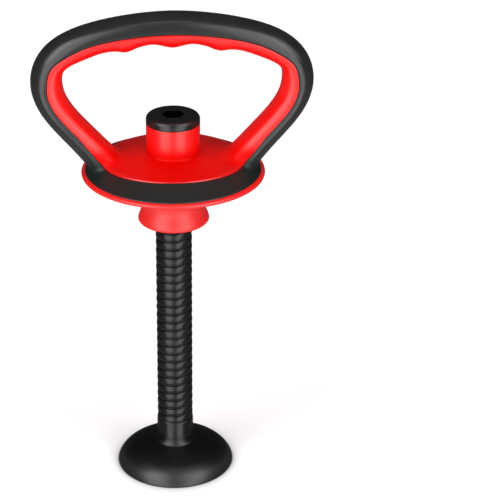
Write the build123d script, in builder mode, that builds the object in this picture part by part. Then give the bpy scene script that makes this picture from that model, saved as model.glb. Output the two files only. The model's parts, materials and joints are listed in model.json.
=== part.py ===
from build123d import *
import os
from math import cos, sin, radians, pi

# ---------------------------------------------------------------------------
# Plate-loading kettlebell: a D-shaped two-material handle on a disc and
# collar, which screws down a coarse-threaded post standing on a domed foot.
# Millimetres. Origin on the floor under the post, +Z up, the loop of the
# handle lies in the XZ plane.
# ---------------------------------------------------------------------------

# --- post -------------------------------------------------------------------
crest_r = 13.5          # thread crest radius of the post
root_r = 12.15          # thread root radius
neck_r = 13.9           # plain shank under the thread
thread_pitch = 6.8      # single start, right hand
thread_z0 = 39.59       # groove centre at +X, where the thread starts
groove_crest_hw = 1.50  # groove half width at the crest
groove_root_hw = 0.55   # groove half width at the root
thread_gap = 0.30       # running gap between the post's and the nut's thread
neck_top_z = 39.0
post_bottom_z = 13.4    # end of the hexagonal tenon in the foot
tenon_top_z = 17.4
tenon_af = 23.6
post_top_z = 236.0
tube_r = 8.7            # steel tube inside the post
tube_bore_r = 6.9
tube_z0, tube_z1 = 15.4, 232.0

# --- foot -------------------------------------------------------------------
foot_r = 45.6
foot_rim_z = 0.9
foot_top_z = 21.5       # top of the small collar round the neck
pad_r0, pad_r1, pad_t = 15.0, 42.6, 2.4
plate_r0, plate_r1, plate_t = 14.6, 38.6, 2.4
plate_screw_pcd = 60.0
bolt_r = 4.0            # M8
bolt_head_r, bolt_head_h = 7.0, 4.4

# --- handle disc and hub ----------------------------------------------------
hub_r = 19.75
hub_bore_r = 15.0
hub_top_z = 286.5
cap_top_z = 291.0
cap_floor_z = 281.2
socket_af = 13.7        # hexagonal key socket in the cap
socket_depth = 5.2
dome_top_z = 263.3      # height of the top plate's dome extrapolated to the axis
dome_k = 0.00266        # dome: z = dome_top_z - dome_k * r^2
oval_a, oval_b = 52.7, 47.6   # outline of the red top plate
frame_z0 = 249.6        # joint between the frame and the lower flange
web_r = 57.0            # hidden web of the frame under the black band
web_top_z = 251.4
band_r = 65.2
band_in_z, band_out_z = 256.2, 251.2   # band's top at the oval edge and at the rim
spigot_r = 22.0
spigot_z = 244.5

# --- lower flange and collar --------------------------------------------------
rim_r = 67.5
rim_edge_r = 2.8
rim_z0 = 244.0
collar_r = 26.45
collar_z = 209.5
collar_bottom_z = 206.2
nut_bore_r = 17.5
nut_r = 17.3
nut_z0, nut_z1, nut_top_z = 209.5, 238.5, 244.5
nut_af = 37.8
flange_screw_r = 36.0   # pitch radius of the six flange screws
mouth_r = 21.0          # recess in the collar's mouth for the thrust washer
mouth_top_z = 209.2

# --- loop --------------------------------------------------------------------
loop_half_depth = 14.5  # half depth of the loop front to back
grip_skin = 4.4         # thickness of the black grip over the frame's core
# Stations along one half of the loop, from the foot of the leg to the crown:
# x, z of the parting line, direction of the outward normal in degrees from +X,
# thickness outside and thickness inside the parting line.
stations = [
    (43.55, 247.33, -43.90, 11.23, 11.60),
    (48.22, 252.68, -38.62, 10.88, 11.60),
    (52.68, 258.42, -37.01, 10.98, 12.09),
    (57.03, 264.07, -37.53, 11.10, 11.48),
    (61.36, 269.44, -39.19, 11.08, 11.25),
    (65.74, 274.52, -41.02, 10.94, 11.23),
    (70.19, 279.50, -42.02, 10.77, 11.25),
    (74.74, 284.57, -41.42, 10.62, 11.28),
    (79.27, 289.91, -38.82, 10.53, 11.38),
    (83.61, 295.63, -33.93, 10.42, 11.67),
    (86.87, 300.91, -27.57, 10.37, 12.01),
    (89.38, 306.49, -18.91, 10.39, 12.34),
    (90.88, 312.27, -8.01, 10.52, 12.51),
    (91.04, 318.11, 4.25, 10.89, 12.32),
    (89.71, 323.70, 16.51, 11.54, 11.61),
    (87.25, 328.86, 27.81, 12.09, 10.72),
    (83.86, 333.45, 37.84, 12.50, 9.91),
    (79.80, 337.47, 46.71, 12.65, 9.72),
    (75.23, 340.97, 54.51, 12.55, 10.13),
    (69.37, 344.36, 62.29, 12.34, 10.64),
    (63.11, 347.15, 68.61, 12.12, 10.81),
    (56.53, 349.36, 73.52, 12.05, 10.56),
    (50.72, 350.93, 76.68, 12.05, 10.48),
    (46.30, 351.92, 78.49, 12.10, 10.78),
    (42.34, 352.70, 79.78, 12.16, 11.41),
    (38.35, 353.40, 80.84, 12.22, 12.23),
    (34.36, 354.01, 81.75, 12.30, 12.83),
    (30.37, 354.56, 82.56, 12.37, 12.83),
    (26.38, 355.05, 83.36, 12.42, 12.06),
    (22.41, 355.49, 84.17, 12.47, 10.84),
    (18.44, 355.86, 85.03, 12.51, 9.93),
    (14.49, 356.18, 85.96, 12.54, 9.88),
    (10.54, 356.42, 86.98, 12.57, 10.65),
    (6.61, 356.59, 88.07, 12.60, 11.76),
    (3.17, 356.68, 89.07, 12.62, 12.52),
    (0.00, 356.70, 90.00, 12.65, 12.78),
]
# the other half is the mirror image, so the loop runs from leg to leg
loop_path = stations + [(-x, z, 180.0 - a, o, i) for x, z, a, o, i in stations[-2::-1]]

os.makedirs("parts", exist_ok=True)


def section_plane(x, z, a):
    """Plane across the loop: local X outward, local Y front to back."""
    n = Vector(cos(radians(a)), 0, sin(radians(a)))
    t = Vector(-n.Z, 0, n.X)
    return Plane(origin=(x, 0, z), x_dir=n, z_dir=t)


def finish(builder, name):
    builder.part.label = name
    export_step(builder.part, f"parts/{name}.step")


# ===========================================================================
# Helper solids that several pieces are cut from
# ===========================================================================

# hidden core of the frame inside the loop, under the black grip
with BuildPart() as loop_core:
    for x, z, a, o, i in loop_path:
        with BuildSketch(section_plane(x, z, a)):
            with BuildLine():
                EllipticalCenterArc((0, 0), o - grip_skin, loop_half_depth - grip_skin, start_angle=-90, arc_size=180)
                EllipticalCenterArc((0, 0), i - 3.0, loop_half_depth - grip_skin, start_angle=90, arc_size=180)
            make_face()
    loft()

# oval domed top plate with the web that runs out under the black band
with BuildPart() as top_plate:
    with BuildSketch(Plane.XY.offset(frame_z0)):
        Ellipse(oval_a, oval_b)
    extrude(amount=20)
    with BuildSketch(Plane.XZ):
        with BuildLine():
            l1 = ThreePointArc(
                (0, dome_top_z),
                (30, dome_top_z - dome_k * 30 ** 2),
                (60, dome_top_z - dome_k * 60 ** 2),
            )
            Polyline(l1 @ 1, (60, frame_z0), (0, frame_z0), (0, dome_top_z))
        make_face()
    revolve(axis=Axis.Z, mode=Mode.INTERSECT)
    lip = top_plate.faces().sort_by(Axis.Z)[-1].edges()
    fillet(lip, radius=0.9)
    with BuildSketch(Plane.XY.offset(frame_z0)):
        Circle(web_r)
    extrude(amount=web_top_z - frame_z0)

# ===========================================================================
# Handle
# ===========================================================================

# ---- red frame: inner half of the loop, top plate and hub in one moulding ----
with BuildPart() as handle_frame:
    for x, z, a, o, i in loop_path:
        with BuildSketch(section_plane(x, z, a)):
            with BuildLine():
                arc = EllipticalCenterArc((0, 0), i, loop_half_depth, start_angle=90, arc_size=180)
                Line(arc @ 1, arc @ 0)
            make_face()
    loft()
    add(loop_core.part)
    # keep the loop above the flange joint
    with BuildSketch(Plane.XY.offset(frame_z0)):
        Rectangle(260, 80)
    extrude(amount=-40, mode=Mode.SUBTRACT)
    add(top_plate.part)
    # hub
    with BuildSketch(Plane.XY.offset(frame_z0)):
        Circle(hub_r)
    extrude(amount=hub_top_z - frame_z0)
    # spigot that centres the flange and clamps the nut
    with BuildSketch(Plane.XY.offset(spigot_z)):
        Circle(spigot_r)
    extrude(amount=frame_z0 - spigot_z)
    # bore that swallows the post
    with BuildSketch(Plane.XY.offset(spigot_z)):
        Circle(hub_bore_r)
    extrude(amount=hub_top_z - spigot_z, mode=Mode.SUBTRACT)
    # two cored-out pockets, front and back, with the screw bosses left standing
    with BuildSketch(Plane.XY.offset(frame_z0)):
        Circle(43.0)
        Circle(25.0, mode=Mode.SUBTRACT)
        Rectangle(100, 32, mode=Mode.SUBTRACT)
        Rectangle(3, 100, mode=Mode.SUBTRACT)
        with PolarLocations(flange_screw_r, 6, start_angle=30):
            Circle(5.0, mode=Mode.SUBTRACT)
    extrude(amount=4.6, mode=Mode.SUBTRACT)
    # screw pilot holes
    with BuildSketch(Plane.XY.offset(frame_z0)):
        with PolarLocations(flange_screw_r, 6, start_angle=30):
            Circle(2.0)
    extrude(amount=6.6, mode=Mode.SUBTRACT)

# ---- black grip: outer half of the loop, legs and the slanted band -----------
with BuildPart() as grip_overmould:
    for x, z, a, o, i in loop_path:
        with BuildSketch(section_plane(x, z, a)):
            with BuildLine():
                arc = EllipticalCenterArc((0.03, 0), o - 0.03, loop_half_depth, start_angle=-90, arc_size=180)
                Line(arc @ 1, arc @ 0)
            make_face()
    loft()
    with BuildSketch(Plane.XY.offset(frame_z0 + 0.05)):
        Rectangle(260, 80)
    extrude(amount=-40, mode=Mode.SUBTRACT)
    # slanted band
    slope = (band_in_z - band_out_z) / (64.4 - oval_b)
    with BuildSketch(Plane.XZ):
        with BuildLine():
            Polyline(
                (40.0, frame_z0 + 0.05),
                (band_r, frame_z0 + 0.05),
                (band_r, band_out_z - 0.7),
                (64.4, band_out_z),
                (40.0, band_out_z + slope * (64.4 - 40.0)),
                (40.0, frame_z0 + 0.05),
            )
        make_face()
    revolve(axis=Axis.Z)
    with BuildSketch(Plane.XY.offset(frame_z0)):
        Ellipse(oval_a, oval_b)
    extrude(amount=7.6, mode=Mode.SUBTRACT)
    add(loop_core.part, mode=Mode.SUBTRACT)
    add(top_plate.part, mode=Mode.SUBTRACT)

# ---- red lower flange with the flared collar ---------------------------------
with BuildPart() as lower_flange:
    with BuildSketch(Plane.XZ):
        with BuildLine():
            edge_c = (rim_r - rim_edge_r, frame_z0 - rim_edge_r)
            top = Line((nut_bore_r, frame_z0), (edge_c[0], frame_z0))
            rim = CenterArc(edge_c, rim_edge_r, 90, -180)
            under = Spline(
                rim @ 1, (52, 243.2), (42, 241.4), (34.5, 238.6), (28.6, 233.8),
                (24.8, 227.8), (23.3, 221.8), (24.4, 216.6), (25.9, 212.8),
                (collar_r, collar_z),
                tangents=[(-1, 0), (0.0, -1)],
            )
            lip = Spline(
                (collar_r, collar_z), (25.5, 207.2), (23.6, collar_bottom_z),
                tangents=[(0, -1), (-1, 0)],
            )
            Polyline(
                (23.6, collar_bottom_z),
                (nut_bore_r, collar_bottom_z),
                (nut_bore_r, frame_z0),
            )
        make_face()
    revolve(axis=Axis.Z)
    # pocket for the nut's hexagonal flange and the frame's spigot
    with BuildSketch(Plane.XY.offset(nut_z1)):
        RegularPolygon(nut_af / 2 + 0.1, 6, major_radius=False)
    extrude(amount=frame_z0 - nut_z1, mode=Mode.SUBTRACT)
    with BuildSketch(Plane.XY.offset(nut_top_z)):
        Circle(spigot_r + 0.1)
    extrude(amount=frame_z0 - nut_top_z, mode=Mode.SUBTRACT)
    # mouth for the thrust washer, with the groove of its retaining ring
    with BuildSketch(Plane.XY.offset(collar_bottom_z)):
        Circle(mouth_r)
    extrude(amount=mouth_top_z - collar_bottom_z, mode=Mode.SUBTRACT)
    with BuildSketch(Plane.XY.offset(206.8)):
        Circle(21.9)
    extrude(amount=0.9, mode=Mode.SUBTRACT)
    # screw holes and their flat-bottomed counterbores from below
    with BuildSketch(Plane.XY.offset(frame_z0)):
        with PolarLocations(flange_screw_r, 6, start_angle=30):
            Circle(2.3)
    extrude(amount=-20, mode=Mode.SUBTRACT)
    with BuildSketch(Plane.XY.offset(244.2)):
        with PolarLocations(flange_screw_r, 6, start_angle=30):
            Circle(4.4)
    extrude(amount=-20, mode=Mode.SUBTRACT)

# ---- six flange screws --------------------------------------------------------
with BuildPart() as flange_screws:
    with BuildSketch(Plane.XY.offset(244.2)):
        with PolarLocations(flange_screw_r, 6, start_angle=30):
            Circle(3.9)
    extrude(amount=-2.7)
    with BuildSketch(Plane.XY.offset(244.2)):
        with PolarLocations(flange_screw_r, 6, start_angle=30):
            Circle(2.0)
    extrude(amount=11.4)
    # cross-recess, made as a small square socket
    with BuildSketch(Plane.XY.offset(241.5)):
        with PolarLocations(flange_screw_r, 6, start_angle=30):
            Rectangle(3.6, 0.9)
            Rectangle(0.9, 3.6)
    extrude(amount=1.5, mode=Mode.SUBTRACT)

# ---- helical profile shared by the post's groove and the nut's ridge ----------
groove_slope = (groove_crest_hw - groove_root_hw) / (crest_r - root_r)


def thread_face_points(r0, r1, shrink):
    """Corners of a trapezoid on the groove's flanks, shrink mm narrower a side."""
    def hw(r):
        return groove_root_hw + groove_slope * (r - root_r) - shrink
    return [
        (r0 - crest_r, -hw(r0)), (r1 - crest_r, -hw(r1)),
        (r1 - crest_r, hw(r1)), (r0 - crest_r, hw(r0)),
    ]


# ---- drive nut: runs on the post, held by its hexagonal flange -----------------
nut_turns_z0 = thread_z0 + 24 * thread_pitch      # 202.79
with BuildPart() as nut_ridge:
    with BuildLine() as nut_helix:
        Helix(thread_pitch, 7 * thread_pitch, crest_r, center=(0, 0, nut_turns_z0))
    start = nut_helix.line @ 0
    with BuildSketch(Plane(origin=start, x_dir=(1, 0, 0), z_dir=nut_helix.line % 0)):
        with BuildLine():
            Polyline(*thread_face_points(root_r + thread_gap, 14.2, 0.367), close=True)
        make_face()
    sweep(path=nut_helix.line, is_frenet=True)
    # keep the turns that are inside the nut
    with BuildSketch(Plane.XY.offset(nut_z0 + 1.0)):
        Circle(20)
    extrude(amount=nut_z1 - nut_z0 - 2.0, mode=Mode.INTERSECT)

with BuildPart() as drive_nut:
    with BuildSketch(Plane.XY.offset(nut_z0)):
        Circle(nut_r)
    extrude(amount=nut_z1 - nut_z0)
    with BuildSketch(Plane.XY.offset(nut_z1)):
        RegularPolygon(nut_af / 2, 6, major_radius=False)
    extrude(amount=nut_top_z - nut_z1)
    with BuildSketch(Plane.XY.offset(nut_z0)):
        Circle(crest_r + thread_gap)
    extrude(amount=nut_top_z - nut_z0, mode=Mode.SUBTRACT)
    add(nut_ridge.part)

# ---- black hub cap with its hexagonal key socket -------------------------------
with BuildPart() as hub_cap:
    with BuildSketch(Plane.XY.offset(hub_top_z)):
        Circle(hub_r - 0.05)
    extrude(amount=cap_top_z - hub_top_z)
    fillet(hub_cap.edges().sort_by(Axis.Z)[-1], radius=1.7)
    with BuildSketch(Plane.XY.offset(cap_floor_z)):
        Circle(hub_bore_r)
    extrude(amount=hub_top_z - cap_floor_z)
    chamfer(hub_cap.edges().sort_by(Axis.Z)[0], length=0.8)
    with BuildSketch(Plane.XY.offset(cap_top_z)):
        RegularPolygon(socket_af / 2, 6, major_radius=False, rotation=0)
    extrude(amount=-socket_depth, mode=Mode.SUBTRACT)

# ---- retaining ring in the collar's mouth --------------------------------------
with BuildPart() as retaining_ring:
    with BuildSketch(Plane.XY.offset(206.85)):
        Circle(21.8)
        Circle(18.9, mode=Mode.SUBTRACT)
        # the gap that lets the ring be squeezed into its groove
        with Locations((0, 20.4)):
            Rectangle(5.0, 6.0, mode=Mode.SUBTRACT)
    extrude(amount=0.8)

# ===========================================================================
# Thrust washer: slides with the handle but does not turn with it
# ===========================================================================
with BuildPart() as thrust_washer:
    with BuildSketch(Plane.XY.offset(205.6)):
        Circle(18.5)
    extrude(amount=3.3)
    with BuildSketch(Plane.XY.offset(207.95)):
        Circle(20.6)
    extrude(amount=0.95)
    with BuildSketch(Plane.XY.offset(205.6)):
        Circle(neck_r + 0.3)
    extrude(amount=3.3, mode=Mode.SUBTRACT)
    chamfer(thrust_washer.edges().sort_by(Axis.Z)[0:1], length=0.3)

# ===========================================================================
# Stand: post, foot and what holds them together
# ===========================================================================

# ---- post ------------------------------------------------------------------------
ridge_half = thread_pitch / 2
with BuildPart() as threaded_post:
    # threaded length: a root cylinder with one helical ridge on it
    with BuildSketch(Plane.XY.offset(tenon_top_z)):
        Circle(root_r)
    extrude(amount=post_top_z - tenon_top_z)
    with BuildLine() as post_helix:
        Helix(thread_pitch, 29.4 * thread_pitch, crest_r, center=(0, 0, thread_z0 - ridge_half))
    start = post_helix.line @ 0
    with BuildSketch(Plane(origin=start, x_dir=(1, 0, 0), z_dir=post_helix.line % 0)):
        with BuildLine():
            in_r = root_r - 0.2
            in_hw = ridge_half - groove_root_hw + groove_slope * 0.2
            Polyline(
                (in_r - crest_r, -in_hw), (0, groove_crest_hw - ridge_half),
                (0, ridge_half - groove_crest_hw), (in_r - crest_r, in_hw),
                close=True,
            )
        make_face()
    sweep(path=post_helix.line, is_frenet=True)
    # trim the thread's upper end, with a lead-in
    with BuildSketch(Plane.XZ):
        with BuildLine():
            Polyline(
                (root_r - 1.0, post_top_z), (root_r - 0.1, post_top_z), (crest_r + 0.3, post_top_z - 1.7),
                (crest_r + 0.3, post_top_z + 9), (root_r - 1.0, post_top_z + 9), close=True,
            )
        make_face()
    revolve(axis=Axis.Z, mode=Mode.SUBTRACT)
    with BuildSketch(Plane.XY.offset(tenon_top_z)):
        Circle(neck_r)
    extrude(amount=neck_top_z - tenon_top_z)
    with BuildSketch(Plane.XY.offset(post_bottom_z)):
        RegularPolygon(tenon_af / 2, 6, major_radius=False)
    extrude(amount=tenon_top_z - post_bottom_z)
    with BuildSketch(Plane.XY.offset(tube_z0)):
        Circle(tube_r)
    extrude(amount=post_top_z - tube_z0, mode=Mode.SUBTRACT)
    with BuildSketch(Plane.XY.offset(post_bottom_z)):
        Circle(bolt_r + 0.3)
    extrude(amount=tube_z0 - post_bottom_z, mode=Mode.SUBTRACT)

# ---- steel tube -------------------------------------------------------------------
with BuildPart() as core_tube:
    with BuildSketch(Plane.XY.offset(tube_z0)):
        Circle(tube_r)
        Circle(tube_bore_r, mode=Mode.SUBTRACT)
    extrude(amount=tube_z1 - tube_z0)

# ---- threaded insert in the tube's lower end ---------------------------------------
with BuildPart() as tube_nut:
    with BuildSketch(Plane.XY.offset(tube_z0)):
        Circle(tube_bore_r)
        Circle(bolt_r, mode=Mode.SUBTRACT)
    extrude(amount=16.0)

# ---- plug that closes the post's top end ---------------------------------------------
with BuildPart() as end_plug:
    with BuildSketch(Plane.XY.offset(tube_z1 - 9.0)):
        Circle(tube_bore_r)
    extrude(amount=9.0)
    with BuildSketch(Plane.XY.offset(tube_z1)):
        Circle(tube_r)
    extrude(amount=post_top_z - tube_z1)
    chamfer(end_plug.edges().sort_by(Axis.Z)[0], length=0.8)

# ---- domed foot ---------------------------------------------------------------------
with BuildPart() as base_foot:
    with BuildSketch(Plane.XZ):
        with BuildLine():
            bore = Polyline(
                (0, 10.4), (0, 19.0), (neck_r, 19.0), (neck_r, foot_top_z),
                (neck_r + 0.5, foot_top_z),
            )
            flare = Spline(
                (neck_r + 0.5, foot_top_z), (15.1, 20.0), (17.4, 18.9),
                tangents=[(0.1, -1), (1, -0.12)],
            )
            dome = Spline(
                (17.4, 18.9), (22.0, 18.0), (28.0, 16.1), (34.0, 13.3),
                (39.0, 9.9), (43.0, 5.8), (45.2, 2.4), (foot_r, foot_rim_z + 0.6),
                tangents=[(1, -0.12), (0.1, -1)],
            )
            Polyline(
                (foot_r, foot_rim_z + 0.6), (foot_r - 0.5, foot_rim_z),
                (pad_r1 + 0.4, foot_rim_z), (pad_r1 + 0.4, pad_t),
                (plate_r1 + 0.3, pad_t), (plate_r1 + 0.3, pad_t + plate_t),
                (12.6, pad_t + plate_t), (12.6, 10.4), (0, 10.4),
            )
        make_face()
    revolve(axis=Axis.Z)
    # socket for the neck, and the hexagonal pocket for the tenon
    with BuildSketch(Plane.XY.offset(tenon_top_z)):
        Circle(neck_r)
    extrude(amount=6, mode=Mode.SUBTRACT)
    with BuildSketch(Plane.XY.offset(post_bottom_z)):
        RegularPolygon(tenon_af / 2, 6, major_radius=False)
    extrude(amount=6, mode=Mode.SUBTRACT)
    with BuildSketch(Plane.XY.offset(8)):
        Circle(bolt_r + 0.3)
    extrude(amount=10, mode=Mode.SUBTRACT)
    # hollow underside: a ring-shaped pocket with radial ribs and screw bosses
    with BuildSketch(Plane.XY.offset(pad_t + plate_t)):
        Circle(34.5)
        Circle(18.0, mode=Mode.SUBTRACT)
        with PolarLocations(0, 8):
            with Locations((30, 0)):
                Rectangle(40, 2.6, mode=Mode.SUBTRACT)
        with PolarLocations(plate_screw_pcd / 2, 4):
            Circle(4.4, mode=Mode.SUBTRACT)
    extrude(amount=4.4, mode=Mode.SUBTRACT)
    with BuildSketch(Plane.XY.offset(pad_t + plate_t)):
        with PolarLocations(plate_screw_pcd / 2, 4):
            Circle(1.6)
    extrude(amount=6.0, mode=Mode.SUBTRACT)

# ---- steel plate that closes the foot -----------------------------------------------------
with BuildPart() as base_plate:
    with BuildSketch(Plane.XY.offset(pad_t)):
        Circle(plate_r1)
        Circle(plate_r0, mode=Mode.SUBTRACT)
    extrude(amount=plate_t)
    with Locations(Plane.XY.offset(pad_t) * Rotation(180, 0, 0)):
        with PolarLocations(plate_screw_pcd / 2, 4):
            CounterSinkHole(radius=1.9, counter_sink_radius=3.4, counter_sink_angle=90)

# ---- four countersunk screws ----------------------------------------------------------------
with BuildPart() as plate_screws:
    with BuildSketch(Plane.XY.offset(pad_t)):
        with PolarLocations(plate_screw_pcd / 2, 4):
            Circle(3.3)
    extrude(amount=1.7, taper=44)
    with BuildSketch(Plane.XY.offset(pad_t)):
        with PolarLocations(plate_screw_pcd / 2, 4):
            Circle(1.6)
    extrude(amount=8.2)
    with BuildSketch(Plane.XY.offset(pad_t)):
        with PolarLocations(plate_screw_pcd / 2, 4):
            Rectangle(2.4, 0.7)
            Rectangle(0.7, 2.4)
    extrude(amount=0.8, mode=Mode.SUBTRACT)

# ---- rubber pad: the ring the whole thing stands on -------------------------------------------
with BuildPart() as foot_pad:
    with BuildSketch():
        Circle(pad_r1)
        Circle(pad_r0, mode=Mode.SUBTRACT)
    extrude(amount=pad_t)
    with BuildSketch():
        for r in (22.0, 28.5, 35.0):
            Circle(r + 0.8)
            Circle(r - 0.8, mode=Mode.SUBTRACT)
    extrude(amount=0.8, mode=Mode.SUBTRACT)

# ---- bolt, spring washer and clamp washer -------------------------------------------------------
with BuildPart() as base_bolt:
    with BuildSketch(Plane.XY.offset(2.0)):
        Circle(bolt_head_r)
    extrude(amount=bolt_head_h)
    fillet(base_bolt.edges().sort_by(Axis.Z)[0], radius=1.4)
    with BuildSketch(Plane.XY.offset(2.0 + bolt_head_h)):
        Circle(bolt_r)
    extrude(amount=22.0)
    with BuildSketch(Plane.XY.offset(2.0)):
        RegularPolygon(2.5, 6, major_radius=False)
    extrude(amount=2.6, mode=Mode.SUBTRACT)

with BuildPart() as lock_washer:
    with BuildSketch(Plane.XY.offset(6.4)):
        Circle(7.0)
        Circle(bolt_r + 0.15, mode=Mode.SUBTRACT)
        with Locations((6.0, 0)):
            Rectangle(6.0, 1.0, mode=Mode.SUBTRACT)
    extrude(amount=2.0)

with BuildPart() as clamp_washer:
    with BuildSketch(Plane.XY.offset(8.4)):
        Circle(12.0)
        Circle(bolt_r + 0.2, mode=Mode.SUBTRACT)
    extrude(amount=2.0)

# ===========================================================================
finish(handle_frame, "handle_frame")
finish(grip_overmould, "grip_overmould")
finish(lower_flange, "lower_flange")
finish(flange_screws, "flange_screws")
finish(drive_nut, "drive_nut")
finish(hub_cap, "hub_cap")
finish(retaining_ring, "retaining_ring")
finish(thrust_washer, "thrust_washer")
finish(threaded_post, "threaded_post")
finish(core_tube, "core_tube")
finish(tube_nut, "tube_nut")
finish(end_plug, "end_plug")
finish(base_foot, "base_foot")
finish(base_plate, "base_plate")
finish(plate_screws, "plate_screws")
finish(foot_pad, "foot_pad")
finish(base_bolt, "base_bolt")
finish(lock_washer, "lock_washer")
finish(clamp_washer, "clamp_washer")
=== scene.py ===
import bpy, bmesh, json
import numpy as np
from math import pi, sin, cos, radians, tan
from mathutils import Matrix, Vector


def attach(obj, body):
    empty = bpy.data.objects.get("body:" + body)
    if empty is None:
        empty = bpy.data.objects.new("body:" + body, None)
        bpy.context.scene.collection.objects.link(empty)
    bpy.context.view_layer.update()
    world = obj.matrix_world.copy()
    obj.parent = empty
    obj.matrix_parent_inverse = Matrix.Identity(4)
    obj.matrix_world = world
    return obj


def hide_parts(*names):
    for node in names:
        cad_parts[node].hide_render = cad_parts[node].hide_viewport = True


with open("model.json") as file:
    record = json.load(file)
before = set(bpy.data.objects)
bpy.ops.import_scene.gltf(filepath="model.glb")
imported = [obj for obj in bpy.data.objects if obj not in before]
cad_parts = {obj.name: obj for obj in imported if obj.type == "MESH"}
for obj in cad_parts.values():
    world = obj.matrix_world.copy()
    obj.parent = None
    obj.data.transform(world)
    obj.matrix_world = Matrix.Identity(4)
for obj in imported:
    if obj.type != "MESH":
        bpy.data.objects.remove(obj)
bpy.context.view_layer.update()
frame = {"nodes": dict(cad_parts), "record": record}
nodes = frame["nodes"]
MM = 0.001
scene = bpy.context.scene

# ---------------------------------------------------------------------------
# Camera, at the photograph's viewing angle. No shift, no depth of field.
# ---------------------------------------------------------------------------
cam_data = bpy.data.cameras.new("camera")
cam_data.sensor_fit = "HORIZONTAL"
cam_data.sensor_width = 36.0
cam_data.lens = 137.875
cam_data.clip_start = 0.05
cam_data.clip_end = 60.0
cam_data.dof.use_dof = False
camera = bpy.data.objects.new("camera", cam_data)
scene.collection.objects.link(camera)
c_right = Vector((0.99658898, -0.08186869, 0.01038822)).normalized()
c_fwd = Vector((0.07818896, 0.89644681, -0.43619905)).normalized()
c_up = c_right.cross(c_fwd).normalized()
c_pos = Vector((-0.05543614, -1.29142508, 0.80868046))
camera.matrix_world = Matrix((
    (c_right.x, c_up.x, -c_fwd.x, c_pos.x),
    (c_right.y, c_up.y, -c_fwd.y, c_pos.y),
    (c_right.z, c_up.z, -c_fwd.z, c_pos.z),
    (0, 0, 0, 1)))
scene.camera = camera

# ---------------------------------------------------------------------------
# Mesh helpers (millimetres in, metres out)
# ---------------------------------------------------------------------------


def make_object(name, verts, faces, sharp_deg=35.0, smooth=True):
    me = bpy.data.meshes.new(name)
    me.from_pydata([tuple(v) for v in np.asarray(verts) * MM], [], [tuple(int(i) for i in f) for f in faces])
    me.validate()
    me.update()
    ob = bpy.data.objects.new(name, me)
    scene.collection.objects.link(ob)
    if smooth:
        me.polygons.foreach_set("use_smooth", [True] * len(me.polygons))
        if sharp_deg:
            me.set_sharp_from_angle(angle=radians(sharp_deg))
    me.update()
    return ob


def rings_mesh(rings, close=True, cap0=True, cap1=True):
    """Skin of closed rings, each N points, from one end to the other."""
    n = len(rings[0])
    verts = np.concatenate(rings)
    faces = []
    for k in range(len(rings) - 1):
        a, b = k * n, (k + 1) * n
        for j in range(n):
            j2 = (j + 1) % n
            faces.append((a + j, a + j2, b + j2, b + j))
    if cap0:
        c = rings[0].mean(0)
        verts = np.vstack([verts, c])
        i = len(verts) - 1
        faces += [(i, (j + 1) % n, j) for j in range(n)]
    if cap1:
        c = rings[-1].mean(0)
        verts = np.vstack([verts, c])
        i = len(verts) - 1
        a = (len(rings) - 1) * n
        faces += [(i, a + j, a + (j + 1) % n) for j in range(n)]
    return verts, faces


def circle_ring(r, z, n):
    t = np.arange(n) * 2 * pi / n
    return np.stack([r * np.cos(t), r * np.sin(t), np.full(n, z)], 1)


def hex_ring(af, z, n, corner=0.0):
    """Hexagon of that size across flats, corners on X, sampled at n angles."""
    t = np.arange(n) * 2 * pi / n
    m = np.mod(t, pi / 3) - pi / 6
    r = af / 2 / np.cos(m)
    return np.stack([r * np.cos(t), r * np.sin(t), np.full(n, z)], 1)


def arc_pts(cx, cz, r, a0, a1, n):
    a = np.radians(np.linspace(a0, a1, n))
    return [(cx + r * np.cos(x), cz + r * np.sin(x)) for x in a]


def spline_pts(points, per=8, tangent0=None, tangent1=None):
    """Centripetal-like Catmull-Rom through points."""
    P = np.array(points, float)
    first = P[0] * 2 - P[1] if tangent0 is None else P[0] - np.array(tangent0)
    last = P[-1] * 2 - P[-2] if tangent1 is None else P[-1] + np.array(tangent1)
    Q = np.vstack([first, P, last])
    out = []
    for k in range(1, len(Q) - 2):
        p0, p1, p2, p3 = Q[k - 1], Q[k], Q[k + 1], Q[k + 2]
        for u in np.linspace(0, 1, per, endpoint=False):
            out.append(0.5 * ((2 * p1) + (p2 - p0) * u + (2 * p0 - 5 * p1 + 4 * p2 - p3) * u * u
                              + (3 * p1 - p0 - 3 * p2 + p3) * u ** 3))
    out.append(P[-1])
    return [tuple(p) for p in out]


def lathe(name, profile, n=160, sharp_deg=35.0):
    """Closed solid of revolution: profile is a list of (r, z); ends on the axis or closed on itself."""
    prof = [profile[0]]
    for p in profile[1:]:
        if abs(p[0] - prof[-1][0]) + abs(p[1] - prof[-1][1]) > 1e-6:
            prof.append(p)
    closed = abs(prof[0][0] - prof[-1][0]) + abs(prof[0][1] - prof[-1][1]) < 1e-6
    if closed:
        prof = prof[:-1]
        rings = [circle_ring(r, z, n) for r, z in prof]
        verts = np.concatenate(rings)
        faces = []
        m = len(rings)
        for k in range(m):
            a, b = k * n, ((k + 1) % m) * n
            for j in range(n):
                j2 = (j + 1) % n
                faces.append((a + j, a + j2, b + j2, b + j))
        return make_object(name, verts, faces, sharp_deg)
    inner = [p for p in prof if p[0] > 1e-6]
    rings = [circle_ring(r, z, n) for r, z in inner]
    verts, faces = rings_mesh(rings)
    # the cap centres take the profile's end heights
    verts[-2][2] = prof[0][1]
    verts[-1][2] = prof[-1][1]
    return make_object(name, verts, faces, sharp_deg)


def fix_normals(ob):
    bm = bmesh.new()
    bm.from_mesh(ob.data)
    bmesh.ops.recalc_face_normals(bm, faces=bm.faces)
    bm.to_mesh(ob.data)
    bm.free()
    ob.data.update()


# ---------------------------------------------------------------------------
# Implicit surfaces: a field is sampled on a quarter grid, skinned with
# surface nets, pulled onto the surface and mirrored to the other quarters
# ---------------------------------------------------------------------------


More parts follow.
